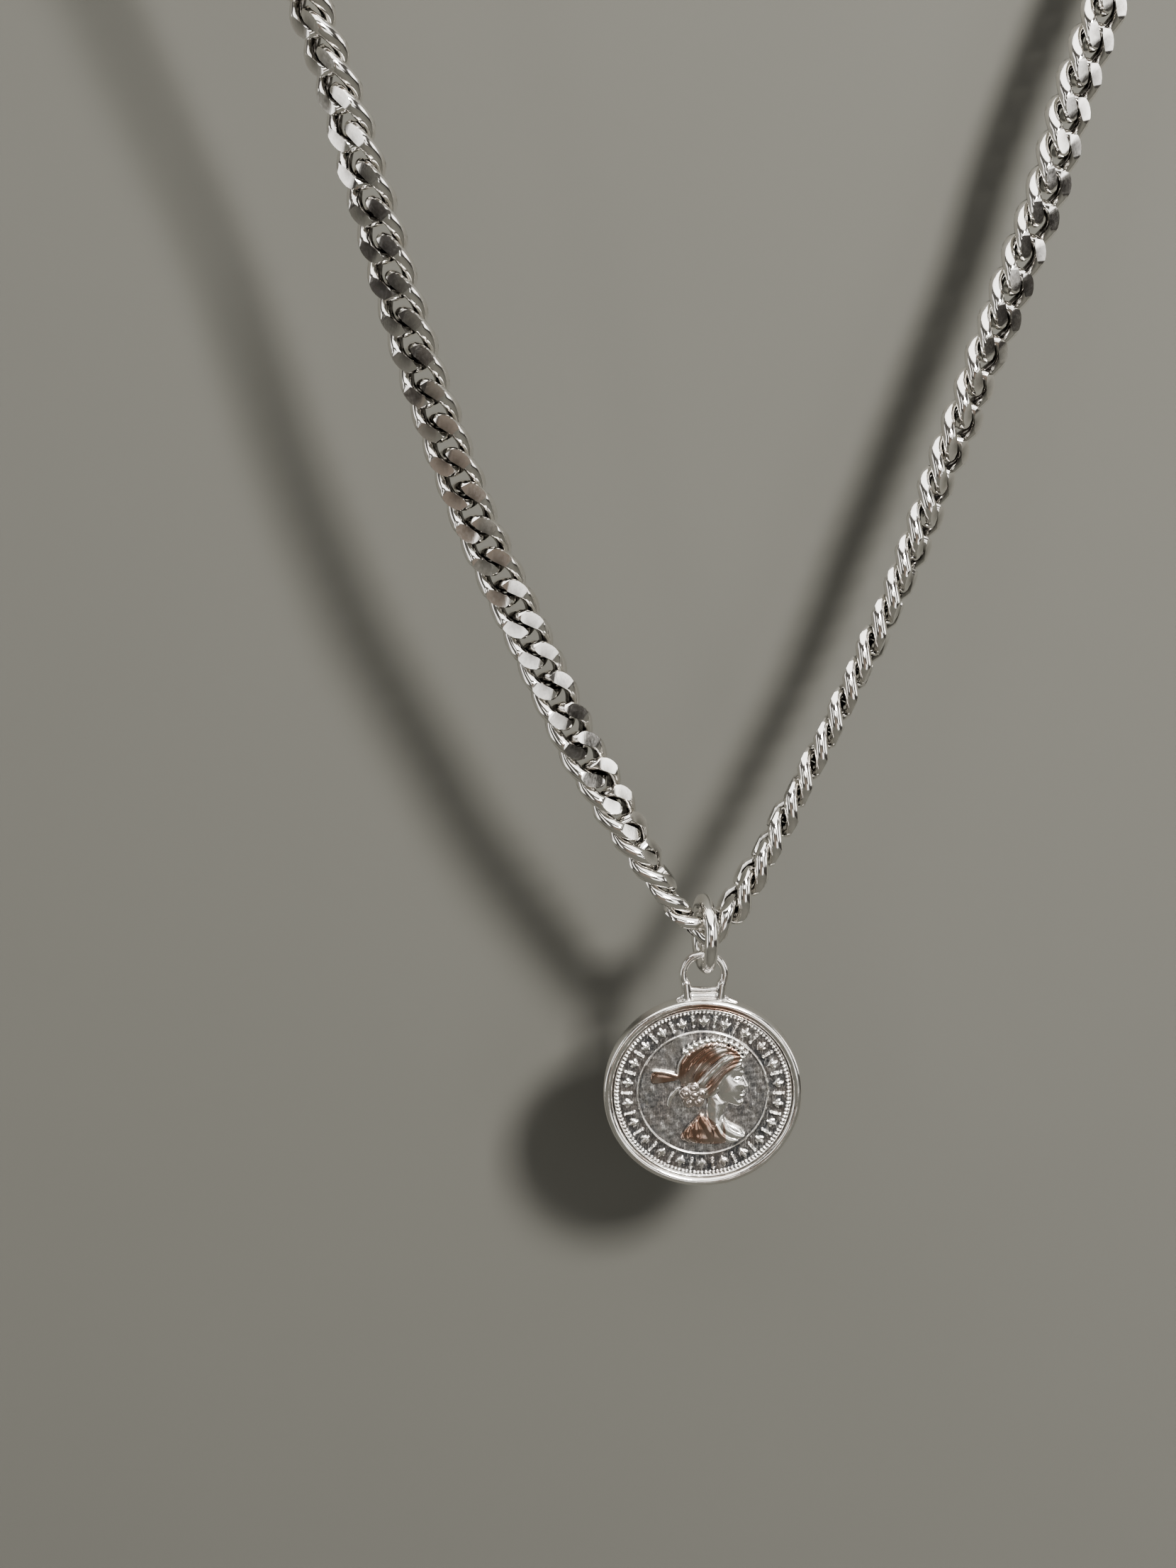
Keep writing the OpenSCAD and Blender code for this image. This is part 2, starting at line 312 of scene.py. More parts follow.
def coin_silver(name, polish):
    """Cast silver, blackened where the patina share is high and warm brown where the mesh keeps
    it: toning, and on the bust a painted reflection.
    """
    material, nodes, links, shader, where = new_metal(name)
    share = point_share(nodes, "patina")
    speck = noise(nodes, links, where, PATINA_SPECK, 4.0, 0.65)
    patchy = rescale(nodes, links, speck, 0.3, 0.7, -0.28, 0.28)
    patina = combine(nodes, links, "ADD", share, patchy)
    patina = combine(nodes, links, "MULTIPLY", patina, share)
    streak = noise(nodes, links, where, WORN_STREAK, 3.0, 0.7, stretch=STREAK_STRETCH)
    rubbed_off = rescale(nodes, links, streak, 0.54, 0.7, 0, 0.75)
    patina = combine(nodes, links, "SUBTRACT", patina, rubbed_off)
    cloud = noise(nodes, links, where, OXIDE_CLOUD, 3.0)
    tone = rescale(nodes, links, cloud, 0.35, 0.65, 0, 1)
    oxide = mix_colour(nodes, links, tone, OXIDE, OXIDE_WARM)
    # Warm brown where the mesh keeps it: toning, and on the bust a painted reflection
    bright = mix_colour(nodes, links, point_share(nodes, "tone_and_reflection"), SILVER, BROWN_TONE_AND_REFLECTION)
    links.new(mix_colour(nodes, links, patina, bright, oxide), shader.inputs["Base Color"])
    rubbed = rescale(nodes, links, patina, 0, 1, polish, OXIDE_ROUGHNESS)
    grain = noise(nodes, links, where, CAST_GRAIN, 3.0)
    uneven = rescale(nodes, links, grain, 0.3, 0.7, -0.05, 0.06)
    links.new(combine(nodes, links, "ADD", rubbed, uneven), shader.inputs["Roughness"])
    pits = noise(nodes, links, where, CAST_PIT, 4.0, 0.6)
    scratches = noise(nodes, links, where, COIN_SCRATCH, 3.0, 0.6, stretch=SCRATCH_STRETCH)
    height = combine(nodes, links, "ADD", pits, scratches)
    links.new(bump(nodes, links, height, 0.5, CAST_DEPTH), shader.inputs["Normal"])
    return material


WIRE_SILVER = polished_silver("wire_silver", 0.085, 0.2)
FACET_SILVER = polished_silver("facet_silver", 0.14, 0.35, spots=0.9)
RING_SILVER = polished_silver("ring_silver", 0.1, 0.2)
CLASP_SILVER = polished_silver("clasp_silver", 0.14, 0.25)
RIM_SILVER = coin_silver("rim_silver", 0.13)
RELIEF_SILVER = coin_silver("relief_silver", 0.17)


# Chain
LINK_WIRE = 1.03
LINK_L = 4.6
CHAIN_W = 3.4
LINK_TWIST = radians(58)
LINK_SQUARENESS = 3
CUT_T = 1.7
LINK_SECTIONS = 44
ARC_POINTS = 9
LEAST_CUT = radians(4)
FACET_FROM = radians(12)
# Where the painted shade on the inner side of the wire begins and is full, by how squarely a point
# faces the link's middle
CREVICE_FROM, CREVICE_FULL = 0.3, 0.85
# Small chance turns of each link
LINK_TILT = radians(2.2)
TILT_SEED = 11
LINK_SHARP = 29
LINE_SAMPLES = 4000
MICRONS_PER_M, MM_PER_MICRON = 1e6, 1e-3


def link_line():
    """Middle line of the wire in a link's own axes, evenly spaced, and its direction."""
    t = np.linspace(0, 2 * pi, LINE_SAMPLES, endpoint=False)
    half_l, half_w = (LINK_L - LINK_WIRE) / 2, (CHAIN_W - LINK_WIRE) / 2
    power = 2 / LINK_SQUARENESS
    x = half_l * np.sign(np.cos(t)) * np.abs(np.cos(t)) ** power
    w = half_w * np.sign(np.sin(t)) * np.abs(np.sin(t)) ** power
    turn = -LINK_TWIST * x / half_l
    line = np.stack([x, w * np.cos(turn), w * np.sin(turn)], 1)
    closed = np.vstack([line, line[:1]])
    run = np.concatenate([[0], np.cumsum(np.linalg.norm(np.diff(closed, axis=0), axis=1))])
    at = run[-1] * np.arange(LINK_SECTIONS) / LINK_SECTIONS
    even = np.stack([np.interp(at, run, closed[:, k]) for k in range(3)], 1)
    along = np.roll(even, -1, 0) - np.roll(even, 1, 0)
    return even, along / np.linalg.norm(along, axis=1, keepdims=True)


def link_skin():
    """Points of one link, planed flat above and below, with its facets and the share of painted
    shade on the inner side of its wire.
    """
    line, along = link_line()
    lift = np.sqrt(1 - along[:, 2] ** 2)
    up = (np.array([0, 0, 1.0]) - along * along[:, 2:]) / lift[:, None]
    aside = np.cross(along, up)
    reach = LINK_WIRE / 2 * lift
    limit = cos(LEAST_CUT)
    above = np.arccos(np.clip((CUT_T / 2 - line[:, 2]) / reach, -1, limit))[:, None]
    below = np.arccos(np.clip((CUT_T / 2 + line[:, 2]) / reach, -1, limit))[:, None]
    arc = above + np.linspace(0, 1, ARC_POINTS) * (pi - below - above)
    angle = np.hstack([arc, 2 * pi - arc[:, ::-1]])[:, :, None]
    spoke = np.cos(angle) * up[:, None] + np.sin(angle) * aside[:, None]
    skin = line[:, None] + LINK_WIRE / 2 * spoke
    facets = np.zeros((LINK_SECTIONS, 2 * ARC_POINTS), bool)
    facets[:, ARC_POINTS - 1] = below[:, 0] > FACET_FROM
    facets[:, -1] = above[:, 0] > FACET_FROM
    # Painted shade on the points of the wire that face the link's middle
    outward = line / np.linalg.norm(line, axis=1, keepdims=True)
    inward = -((skin - line[:, None]) * outward[:, None]).sum(-1) / (LINK_WIRE / 2)
    crevice_shade = np.clip((inward - CREVICE_FROM) / (CREVICE_FULL - CREVICE_FROM), 0, 1)
    return skin.reshape(-1, 3), (facets & np.roll(facets, -1, 0)).ravel(), crevice_shade.ravel()


def shells_of(node):
    """Corner points of each closed solid in a CAD node, in millimetres."""
    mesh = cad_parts[node].data
    corners = np.empty(len(mesh.vertices) * 3, np.float32)
    mesh.vertices.foreach_get("co", corners)
    microns = np.round(corners.reshape(-1, 3) * MICRONS_PER_M)
    places, index = np.unique(microns, axis=0, return_inverse=True)
    index = index.ravel()
    owner = np.arange(len(places))
    edges = np.empty(len(mesh.edges) * 2, np.int32)
    mesh.edges.foreach_get("vertices", edges)
    a, b = index[edges.reshape(-1, 2)].T
    while True:
        low = np.minimum(owner[a], owner[b])
        before = owner.copy()
        np.minimum.at(owner, a, low)
        np.minimum.at(owner, b, low)
        if (owner == before).all():
            break
    return [places[owner == k] * MM_PER_MICRON for k in np.unique(owner)]


def make_chain(node, seed):
    """Fine round links, each in the place and the axes of a CAD link."""
    skin, is_facet, crevice_shade = link_skin()
    quads = grid_faces(LINK_SECTIONS, 2 * ARC_POINTS, wrap_rows=True)
    chance = np.random.default_rng(seed)
    points, faces = [], []
    for shell in shells_of(node):
        middle = shell.mean(0)
        axes = np.linalg.eigh(np.cov((shell - middle).T))[1][:, ::-1]
        axes[:, 2] = np.cross(axes[:, 0], axes[:, 1])
        tilt = Matrix.Identity(3)
        for axis, turn in zip("XYZ", chance.normal(0, LINK_TILT, 3)):
            tilt = tilt @ Matrix.Rotation(turn, 3, axis)
        faces.append(quads + len(points) * len(skin))
        points.append(middle + skin @ np.array(tilt).T @ axes.T)
    kinds = np.tile(is_facet.astype(int), len(points))
    piece = new_piece(
        f"{node}_links", np.vstack(points), np.vstack(faces).tolist(),
        [WIRE_SILVER, FACET_SILVER], "necklace", node, kinds, sharp=LINK_SHARP,
    )
    # Share of painted shade on the inner side of each link's wire, for its material to read
    set_share(piece, "crevice_shade", np.tile(crevice_shade, len(points)))


make_chain("chain_left", TILT_SEED)
make_chain("chain_right", TILT_SEED + 1)

for material_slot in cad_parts["clasp"].material_slots:
    material_slot.material = CLASP_SILVER


# Jump ring
RING_WIRE = 1.0
RING_TURN = radians(9)
RING_SEGMENTS = 128
RING_SIDES = 32


def make_ring():
    """Round wire ring, turned a little about the vertical as in the frame."""
    middle_r = (RING_HIGH.z - RING_LOW.z) / 2 / MM - RING_WIRE / 2
    round_ring = (np.arange(RING_SEGMENTS) * 2 * pi / RING_SEGMENTS)[:, None]
    round_wire = (np.arange(RING_SIDES) * 2 * pi / RING_SIDES)[None, :]
    reach = middle_r + RING_WIRE / 2 * np.cos(round_wire)
    side = np.broadcast_to(RING_WIRE / 2 * np.sin(round_wire), (RING_SEGMENTS, RING_SIDES))
    deep, high = reach * np.sin(round_ring), reach * np.cos(round_ring)
    x = side * cos(RING_TURN) - deep * sin(RING_TURN)
    y = side * sin(RING_TURN) + deep * cos(RING_TURN)
    points = np.stack([x, y, high], -1).reshape(-1, 3) + np.array(RING_PLACE) / MM
    faces = grid_faces(RING_SEGMENTS, RING_SIDES, wrap_rows=True).tolist()
    new_piece("jump_ring_wire", points, faces, [RING_SILVER], "ring", "jump_ring")


make_ring()


# Coin: sizes
COIN_T = 1.6
RIM_W = 0.7
FIELD_DEPTH = 0.35
FIELD_H = COIN_T / 2 - FIELD_DEPTH
FACE_R = COIN_R - RIM_W
GROOVE = 0.1
# Height and middle of the bust's head, as shares of the coin's width
HEAD_H = 0.37 * 2 * COIN_R
HEAD_AT = np.array([0.055, 0.085]) * 2 * COIN_R


def wobble(x, y, size, seed, waves=14):
    """Smooth unevenness between -1 and 1 with bumps about that size."""
    chance = np.random.default_rng(seed)
    total = np.zeros_like(x)
    for _ in range(waves):
        heading, phase = chance.uniform(0, 2 * pi, 2)
        pace = 2 * pi / (size * chance.uniform(1.4, 3.2))
        total += np.sin(pace * (x * cos(heading) + y * sin(heading)) + phase)
    return total / waves**0.5 / 1.5


def dome(distance, radius, height):
    """Round bump: its height at a distance from its middle."""
    return height * np.sqrt(np.clip(1 - (distance / radius) ** 2, 0, 1))


# Coin: field, beads and motif band
BEAD_COUNT = 138
BEAD_R = 6.46
BEAD_L = 0.3
BEAD_W = 0.19
BEAD_H = 0.2
EDGE_LINE_R = 6.69
EDGE_LINE_W = 0.15
EDGE_LINE_H = 0.17
LINE_R = 0.655 * COIN_R
LINE_W = 0.16
LINE_H = 0.1
MOTIF_COUNT = 44
BAND_R = 0.765 * COIN_R
MOTIF_L = 0.9
MOTIF_H = 0.24
LEAF_W = 0.3
SPREAD = 0.2
BAR_W = 0.22
BAR_L = 0.72
BERRY_R = 0.115
FACE_SEGMENTS = 640
FIELD_RINGS = 60
BARE_FROM = 0.1
BAND_RINGS = 72
INNER_R = 0.05
FACE_FADE = 0.08
FIELD_PATINA = 0.9
FACE_TONING = 0.25
# Unevenness of the face: its share of a motif's height, and its fine and wide swells
MOTIF_WEAR, FINE_SWELL, WIDE_SWELL = 0.22, 0.012, 0.02


def leaf(u, v, length, width, height):
    """Pointed leaf along v with a groove down its middle."""
    half = width / 2 * np.clip(1 - (2 * v / length) ** 2, 0, 1) + 1e-6
    body = dome(u, half, height) * (np.abs(v) < length / 2)
    return body - 0.35 * height * np.exp(-((u / (0.13 * width)) ** 2)) * (body > 0)


def sprig(u, v):
    """Leaf with a smaller leaf leaning out on each side."""
    shape = leaf(u, v, MOTIF_L, LEAF_W, MOTIF_H)
    for side in (-1, 1):
        lean = side * radians(32)
        a, b = u - side * SPREAD, v + 0.06
        across, along = a * cos(lean) - b * sin(lean), a * sin(lean) + b * cos(lean)
        shape = np.maximum(shape, leaf(across, along, 0.62 * MOTIF_L, 0.2, 0.8 * MOTIF_H))
    return shape


def bar(u, v):
    """Rounded bar with a berry at each end."""
    shape = dome(np.hypot(u, np.clip(np.abs(v) - BAR_L / 2 + BAR_W, 0, None)), BAR_W / 2, MOTIF_H)
    for end in (-1, 1):
        shape = np.maximum(shape, dome(np.hypot(u, v - end * BAR_L / 2), BERRY_R, MOTIF_H))
    return shape


def face_relief(x, y):
    """Height above the coin's field of its beads, lines and motifs."""
    radius, angle = np.hypot(x, y), np.arctan2(x, y)
    bead_step, motif_step = 2 * pi / BEAD_COUNT, 2 * pi / MOTIF_COUNT
    off = (angle - np.round(angle / bead_step) * bead_step) * BEAD_R
    height = dome(np.hypot(off * BEAD_L / BEAD_W, radius - BEAD_R), BEAD_L / 2, BEAD_H)
    height = np.maximum(height, dome(radius - EDGE_LINE_R, EDGE_LINE_W / 2, EDGE_LINE_H))
    height = np.maximum(height, dome(radius - LINE_R, LINE_W / 2, LINE_H))
    turn = np.round(angle / motif_step)
    u, v = (angle - turn * motif_step) * radius, radius - BAND_R
    motif = np.where(turn % 2 == 0, sprig(u, v), bar(u, v))
    worn = 1 + MOTIF_WEAR * wobble(x, y, 0.9, 5)
    height = np.maximum(height, motif * worn)
    return height + FINE_SWELL * wobble(x, y, 0.3, 6) + WIDE_SWELL * wobble(x, y, 1.2, 7)


def make_face():
    """Disc of the coin's face between the centre and the groove inside the rim."""
    radii = np.concatenate([
        np.linspace(INNER_R, LINE_R - LINE_W, FIELD_RINGS, endpoint=False),
        np.linspace(LINE_R - LINE_W, FACE_R, BAND_RINGS),
    ])
    angle = np.arange(FACE_SEGMENTS) * 2 * pi / FACE_SEGMENTS
    x, y = (radii[:, None] * np.cos(angle)).ravel(), (radii[:, None] * np.sin(angle)).ravel()
    relief = face_relief(x, y)
    fade = np.clip((FACE_R - np.hypot(x, y)) / FACE_FADE, 0, 1)
    top = np.stack([x, y, FIELD_H + relief * fade - GROOVE * (1 - fade)], 1)
    skirt = np.stack([FACE_R * np.cos(angle), FACE_R * np.sin(angle), np.zeros(FACE_SEGMENTS)], 1)
    points = np.vstack([top, skirt, [[0, 0, FIELD_H], [0, 0, 0]]])
    faces = [f[::-1] for f in capped_faces(len(radii) + 1, FACE_SEGMENTS)]
    inside = np.hypot(x, y) < LINE_R - LINE_W
    patina = np.clip(1.1 - relief / BARE_FROM, 0, 1) * np.where(inside, FIELD_PATINA, 1.0)
    tone_and_reflection = FACE_TONING * np.clip(wobble(x, y, 1.6, 8), 0, 1)
    others = np.zeros(FACE_SEGMENTS + 2)
    coin_piece(
        "coin_face", coin_to_frame(points), faces, RELIEF_SILVER,
        np.concatenate([patina, others + 1]), np.concatenate([tone_and_reflection, others]),
    )


# Coin: rim, edge and back
RIM_SEGMENTS = 320
ARC_STEPS = 12
# Waves of the hand-finished rim: number round it, height and phase
RIM_WAVES = ((5, 0.012, 1), (13, 0.008, 0), (29, 0.005, 2))
GROOVE_FADE = 0.12
BACK_PATINA = 0.55
# Warm toning round the loop's foot: its middle and its reach in radians
TONED_AT, TONED_REACH = 0.12, 0.55


def rim_ripple(angle):
    """Slight unevenness of the hand-finished rim."""
    return sum(height * np.sin(waves * angle + phase) for waves, height, phase in RIM_WAVES)


def make_rim():
    """Body of the coin: rounded rim, plain edge and plain back, with a bed for the face."""
    edge = RIM_W / 2
    bed = FIELD_H - 2 * GROOVE
    section = [(0, bed), (FACE_R - GROOVE, bed)]
    for side, start, end in ((1, 180, 0), (-1, 0, -180)):
        for step in range(ARC_STEPS + 1):
            a = radians(start + (end - start) * step / ARC_STEPS)
            height = side * (COIN_T / 2 - edge) + edge * sin(a)
            section.append((COIN_R - edge + edge * cos(a), height))
    section += [(share, -FIELD_H) for share in (FACE_R - GROOVE, 0.92 * FACE_R, 0.5 * FACE_R, 0)]
    points, faces = turned(section, RIM_SEGMENTS, rim_ripple)
    x, y, z = points.T
    radius, aside = np.hypot(x, y), np.arctan2(x, y)
    low = np.clip(1 - (np.abs(z) - FIELD_H) / GROOVE_FADE, 0, 1)
    in_groove = low * (radius < COIN_R - edge)
    patina = np.where(z > 0, in_groove, BACK_PATINA * in_groove)
    near_loop = np.clip(1.25 - np.abs(aside - TONED_AT) / TONED_REACH, 0, 1)
    near_loop *= radius < COIN_R - 0.8 * edge
    faint = 0.2 * np.clip(wobble(x, y, 2.4, 9), 0, 1)
    tone_and_reflection = np.maximum(near_loop, faint)
    coin_piece("coin_rim", coin_to_frame(points), faces, RIM_SILVER, patina, tone_and_reflection)


# Coin: the bust in relief
CELL = 0.027
SINK = 0.03
BUST_LOW = np.array([-0.98, -1.0])
BUST_HIGH = np.array([0.56, 0.68])
BUST_TOP = 0.56
BUST_BED = 0.15
# The bust's bare height, the hollows that stay dark, and rounds of softening of the form and of
# its painted brown reflection
BARE_H = 0.14
HOLLOW_DEPTH, HOLLOW_ROUNDS = 0.05, 40
FORM_ROUNDS, REFLECTION_ROUNDS = 2, 6


class Relief:
    """Height map over the coin's face that shapes are pressed into. Places and widths are in
    shares of the head's height, and heights in millimetres."""

    def __init__(self):
        step = CELL / HEAD_H
        xs = np.arange(BUST_LOW[0], BUST_HIGH[0], step)
        ys = np.arange(BUST_LOW[1], BUST_HIGH[1], step)
        self.x, self.y = np.meshgrid(xs, ys)
        self.z = np.full(self.x.shape, -SINK)
        # Share of painted brown reflection over the bust
        self.tone = np.zeros(self.x.shape)

    def paint(self, points, tone):
        """Sets the share of painted brown reflection inside an outline."""
        line = smooth_line(points, 6, closed=True)
        part = self.window(line, 0.01)
        inside = self.measure(line, part, closed=True)[2]
        self.tone[part] = np.where(inside, tone, self.tone[part])

    def window(self, line, margin):
        """The part of the map that a line with that margin can touch."""
        low, high = line.min(0) - margin, line.max(0) + margin
        columns = np.flatnonzero((self.x[0] >= low[0]) & (self.x[0] <= high[0]))
        rows = np.flatnonzero((self.y[:, 0] >= low[1]) & (self.y[:, 0] <= high[1]))
        return slice(rows[0], rows[-1] + 1), slice(columns[0], columns[-1] + 1)

    def measure(self, line, part, closed=False):
        """Distance to a line, share along it, and whether a closed line holds the point."""
        x, y = self.x[part], self.y[part]
        ends = np.roll(line, -1, 0) if closed else line[1:]
        starts = line if closed else line[:-1]
        best = np.full(x.shape, 9.0)
        share = np.zeros(x.shape)
        inside = np.zeros(x.shape, bool)
        for k, ((ax, ay), (bx, by)) in enumerate(zip(starts, ends)):
            dx, dy = bx - ax, by - ay
            t = np.clip(((x - ax) * dx + (y - ay) * dy) / (dx * dx + dy * dy + 1e-12), 0, 1)
            away = np.hypot(x - ax - t * dx, y - ay - t * dy)
            nearer = away < best
            best = np.where(nearer, away, best)
            share = np.where(nearer, (k + t) / len(starts), share)
            if closed and ay != by:
                inside ^= ((ay > y) != (by > y)) & (x < dx * (y - ay) / dy + ax)
        return best, share, inside

    def pillow(self, points, height, width, steps=6):
        """Raised form with a rounded border."""
        line = smooth_line(points, steps, closed=True)
        part = self.window(line, 0.01)
        away, _, inside = self.measure(line, part, closed=True)
        rise = height * np.sqrt(1 - (1 - np.clip(away / width, 0, 1)) ** 2)
        self.z[part] = np.where(inside, np.maximum(self.z[part], rise), self.z[part])

    def ridge(self, points, width, height, base=0.0, taper=(0.3, 0.3), strands=0, steps=8):
        """Rounded lock or fold along a line, thinner towards its ends."""
        line = smooth_line(points, steps)
        part = self.window(line, width)
        away, share, _ = self.measure(line, part)
        ends = np.clip(np.minimum(share / taper[0], (1 - share) / taper[1]), 0, 1)
        across = away / (width * (0.35 + 0.65 * np.sqrt(ends)))
        rise = base + height * np.sqrt(np.clip(1 - across**2, 0, 1)) * (0.5 + 0.5 * ends)
        if strands:
            rise += 0.12 * height * np.cos(pi * strands * across)
        self.z[part] = np.where(across < 1, np.maximum(self.z[part], rise), self.z[part])

    def bump(self, at, size, height, turn=0.0):
        """Soft swelling added to the form, or a hollow where the height is negative."""
        line = np.array([at])
        part = self.window(line, 3 * max(size))
        dx, dy = self.x[part] - at[0], self.y[part] - at[1]
        u, v = dx * cos(turn) + dy * sin(turn), dy * cos(turn) - dx * sin(turn)
        swell = height * np.exp(-((u / size[0]) ** 2) - (v / size[1]) ** 2)
        self.z[part] = np.where(self.z[part] > 0, self.z[part] + swell, self.z[part])

    def groove(self, points, width, depth, steps=8):
        """Soft line cut into the form."""
        line = smooth_line(points, steps)
        part = self.window(line, 3 * width)
        away, share, _ = self.measure(line, part)
        fade = np.clip(6 * np.minimum(share, 1 - share), 0.3, 1)
        cut = depth * fade * np.exp(-((away / width) ** 2))
        self.z[part] = np.where(self.z[part] > 0, self.z[part] - cut, self.z[part])

    def ball(self, at, radius, height, base=0.0, stretch=1.0, turn=0.0):
        """Round bead or oval leaf set on the form."""
        part = self.window(np.array([at]), 2 * radius * max(stretch, 1))
        dx, dy = self.x[part] - at[0], self.y[part] - at[1]
        u, v = dx * cos(turn) + dy * sin(turn), dy * cos(turn) - dx * sin(turn)
        away = np.hypot(u / stretch, v) / radius
        rise = base + height * np.sqrt(np.clip(1 - away**2, 0, 1))
        self.z[part] = np.where(away < 1, np.maximum(self.z[part], rise), self.z[part])


# Outlines in shares of the head's height, from the middle of the head.
FACE = [
    (0.27, 0.39), (0.35, 0.31), (0.4, 0.2), (0.415, 0.11), (0.398, 0.05), (0.43, -0.02),
    (0.464, -0.085), (0.478, -0.118), (0.462, -0.142), (0.425, -0.152), (0.421, -0.176),
    (0.437, -0.2), (0.412, -0.222), (0.427, -0.248), (0.398, -0.288), (0.413, -0.34),
    (0.393, -0.392), (0.345, -0.418), (0.24, -0.395), (0.13, -0.34), (0.05, -0.26), (0, -0.1),
    (-0.2, 0.05), (-0.2, 0.35), (0.1, 0.46),
]
NECK = [
    (0.24, -0.34), (0.175, -0.42), (0.155, -0.52), (0.19, -0.62), (0.3, -0.72), (0.1, -0.8),
    (-0.14, -0.74), (-0.1, -0.56), (-0.1, -0.4), (-0.05, -0.2),
]
SHOULDER = [
    (0.14, -0.6), (0.26, -0.66), (0.38, -0.73), (0.44, -0.82), (0.36, -0.9), (0.16, -0.955),
    (-0.06, -0.97), (-0.28, -0.95), (-0.45, -0.89), (-0.4, -0.76), (-0.3, -0.64), (-0.19, -0.52),
    (-0.1, -0.56), (0.02, -0.64),
]
HAIR = [
    (0.02, 0.53), (0.2, 0.48), (0.34, 0.36), (0.33, 0.25), (0.24, 0.14), (0.14, 0.06),
    (0.07, -0.06), (0.01, -0.18), (-0.12, -0.3), (-0.3, -0.32), (-0.43, -0.16), (-0.48, 0.08),
    (-0.42, 0.3), (-0.22, 0.48),
]
RIBBON_END = [
    (-0.42, 0.02), (-0.58, 0.08), (-0.8, 0.1), (-0.86, 0.0), (-0.83, -0.09), (-0.68, -0.08),
    (-0.5, -0.04),
]
# Band that ties the hair, from the wreath to the knot
BAND = [(0.22, 0.33), (0.06, 0.2), (-0.09, 0.04), (-0.2, -0.12)]
BAND_W = 0.055
BAND_ASIDE = (0.75, -0.66)
# Lowest, middle and highest lock of the hair, from the brow to the knot
LOCK_LOW = np.array([(0.3, 0.15), (0.17, 0.07), (0.07, -0.06), (-0.04, -0.19), (-0.18, -0.27)])
LOCK_MID = np.array([(0.34, 0.35), (0.17, 0.32), (0, 0.2), (-0.14, 0.03), (-0.24, -0.14)])
LOCK_HIGH = np.array([(0.03, 0.51), (-0.14, 0.48), (-0.31, 0.36), (-0.43, 0.17), (-0.42, -0.07)])
LOCK_COUNT = 8
KNOT = np.array([-0.27, -0.24])
KNOT_R = 0.2
# Curls of the knot: direction and distance from its middle, and size
KNOT_CURLS = (
    (20, 0.1, 0.085), (95, 0.11, 0.09), (165, 0.12, 0.095), (235, 0.11, 0.09), (305, 0.1, 0.085),
    (0, 0, 0.09),
)
CURL_TURNS = 8
WREATH_R = 0.55
WREATH_COUNT = 12
WREATH_FROM, WREATH_TO = 40, 136


def lock_line(share):
    """Path of the hair's lock at a share of the way from the lowest lock to the highest."""
    a, b, c = (1 - share) * (1 - 2 * share), 4 * share * (1 - share), share * (2 * share - 1)
    return a * LOCK_LOW + b * LOCK_MID + c * LOCK_HIGH


def beside_band(share):
    """The band's middle line moved aside by a share of its width."""
    aside = [share * BAND_W * direction for direction in BAND_ASIDE]
    return [(x + aside[0], y + aside[1]) for x, y in BAND]


def shape_head(relief):
    """Neck, face and ear, calm and on plain proportions."""
    relief.pillow(NECK, 0.3, 0.16)
    relief.pillow(FACE, 0.4, 0.2)
    relief.groove([(0.02, -0.2), (0.1, -0.32), (0.2, -0.39), (0.3, -0.42)], 0.02, 0.05)
    relief.bump((0.25, -0.13), (0.1, 0.1), 0.05)
    relief.bump((0.2, -0.28), (0.12, 0.06), 0.025, turn=-0.6)
    relief.bump((0.37, -0.355), (0.045, 0.045), 0.05)
    relief.bump((0.36, 0.18), (0.08, 0.1), 0.03)
    relief.bump((0.365, -0.04), (0.05, 0.03), -0.05, turn=-0.6)
    relief.bump((0.31, 0.02), (0.065, 0.035), -0.07)
    brow = [(0.235, 0.075), (0.3, 0.1), (0.36, 0.095), (0.4, 0.075)]
    relief.ridge(brow, 0.022, 0.05, 0.27, (0.4, 0.2))
    relief.bump((0.315, 0.005), (0.032, 0.018), 0.07)
    relief.groove([(0.265, 0.0), (0.3, 0.032), (0.345, 0.022)], 0.008, 0.04)
    relief.groove([(0.27, -0.008), (0.31, -0.022), (0.345, -0.006)], 0.007, 0.03)
    relief.bump((0.425, -0.125), (0.02, 0.018), 0.06)
    relief.groove([(0.4, -0.105), (0.388, -0.13), (0.402, -0.152)], 0.008, 0.04)
    relief.bump((0.405, -0.197), (0.028, 0.012), 0.05, turn=0.25)
    relief.bump((0.4, -0.25), (0.024, 0.014), 0.05, turn=-0.2)
    relief.groove([(0.44, -0.222), (0.395, -0.222), (0.355, -0.23)], 0.007, 0.06)
    relief.bump((0.35, -0.232), (0.012, 0.014), -0.03)
    relief.groove([(0.18, -0.44), (0.1, -0.55), (0.08, -0.64)], 0.02, 0.03)
    relief.ball((0.045, -0.135), 0.035, 0.08, 0.36, 0.8)


